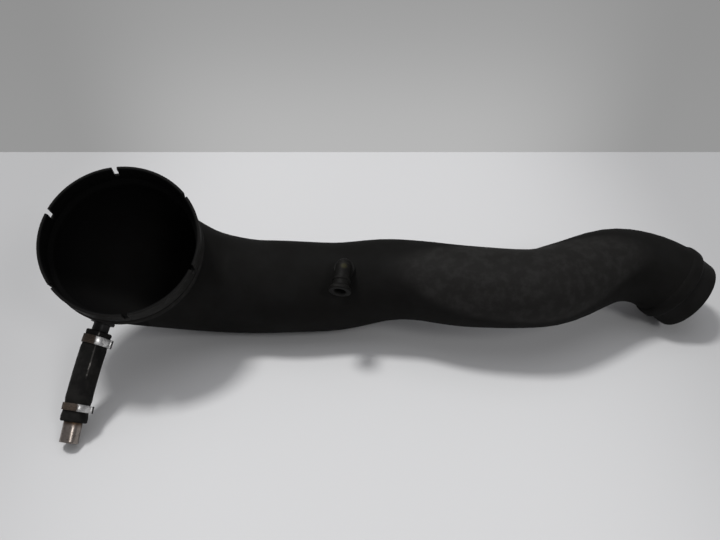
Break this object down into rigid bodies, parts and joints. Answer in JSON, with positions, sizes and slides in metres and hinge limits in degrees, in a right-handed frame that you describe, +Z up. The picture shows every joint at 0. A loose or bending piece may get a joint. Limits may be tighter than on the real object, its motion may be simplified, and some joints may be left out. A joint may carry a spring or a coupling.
{
  "type": "air intake hose",
  "caption": "Moulded air intake duct with a slotted mouth, an elbow, a tapering run and a plain end, with a side elbow and a short clamped vent hose.",
  "frame": {"origin": "on the surface the duct lies on, under the middle of its outline", "axes": "+Z up, +X along the run towards the plain end, -Y towards the front, where the mouth faces"},
  "size_m": [0.4106, 0.1431, 0.1158],
  "materials": {
    "duct_plastic": "fine matt texture, dark grey-black",
    "fitting_plastic": "smooth, slightly worn dark plastic",
    "nipple_plastic": "smooth dark plastic",
    "hose_rubber": "worn matt rubber",
    "clamp_steel": "plated strip, brown rust on part of it",
    "tube_metal": "dull drawn tube with a bronze tint"
  },
  "bodies": {
    "root": {"duct": "duct_plastic", "side_elbow": "fitting_plastic", "vent_nipple": "nipple_plastic", "vent_hose": "hose_rubber", "upper_clamp": "clamp_steel", "lower_clamp": "clamp_steel", "vent_tube": "tube_metal"}
  },
  "joints": []
}
